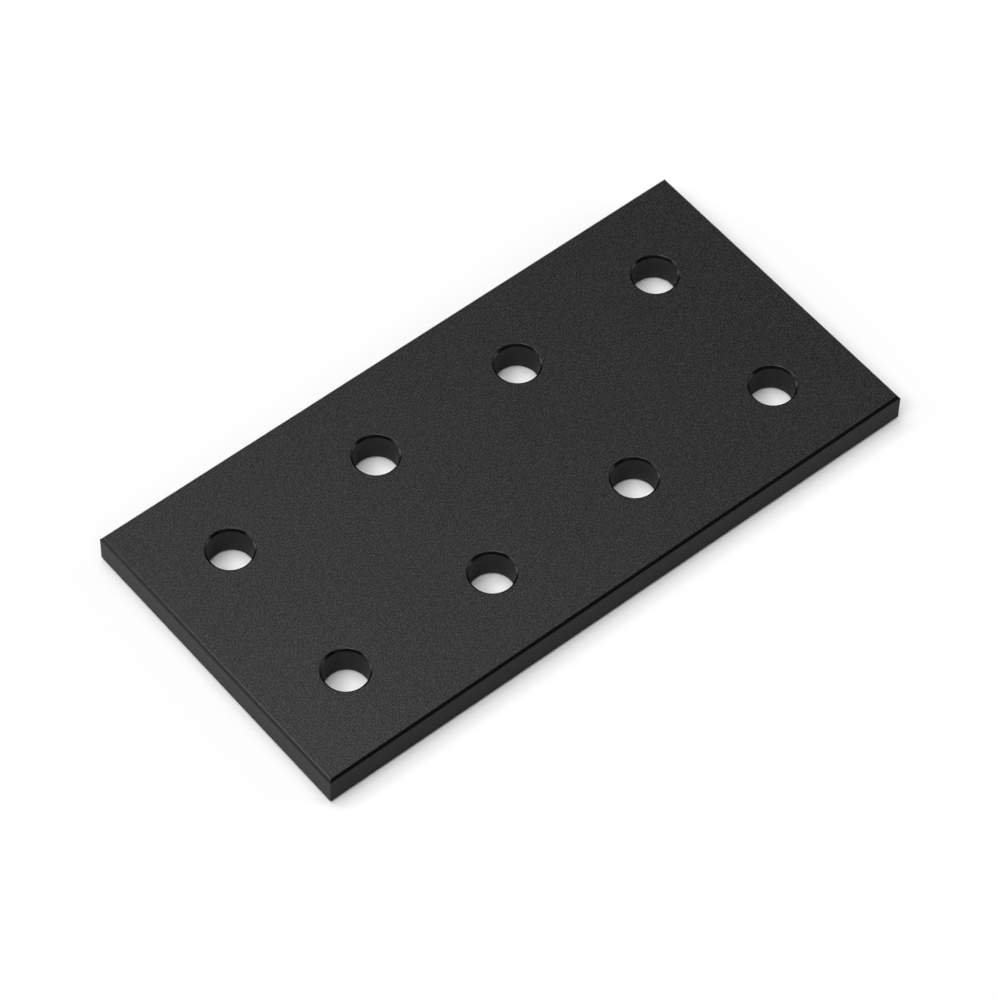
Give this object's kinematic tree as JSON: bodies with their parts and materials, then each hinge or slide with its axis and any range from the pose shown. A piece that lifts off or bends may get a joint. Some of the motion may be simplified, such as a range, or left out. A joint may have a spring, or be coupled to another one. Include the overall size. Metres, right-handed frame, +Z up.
{
  "type": "extrusion joining plate",
  "caption": "Flat rectangular joining plate with a grid of chamfered through holes, screwed across the joint between lengths of slotted extrusion.",
  "frame": {"origin": "centre of the bottom face, on the surface that the plate lies on", "axes": "+X along the plate's length, +Y across its width, +Z up through its thickness"},
  "size_m": [0.08, 0.04, 0.004],
  "materials": {
    "black_anodised": "satin black anodised: finely blasted flat faces, smooth machined sides, chamfers and holes"
  },
  "bodies": {
    "root": {"joining_plate": "black_anodised"}
  },
  "joints": []
}
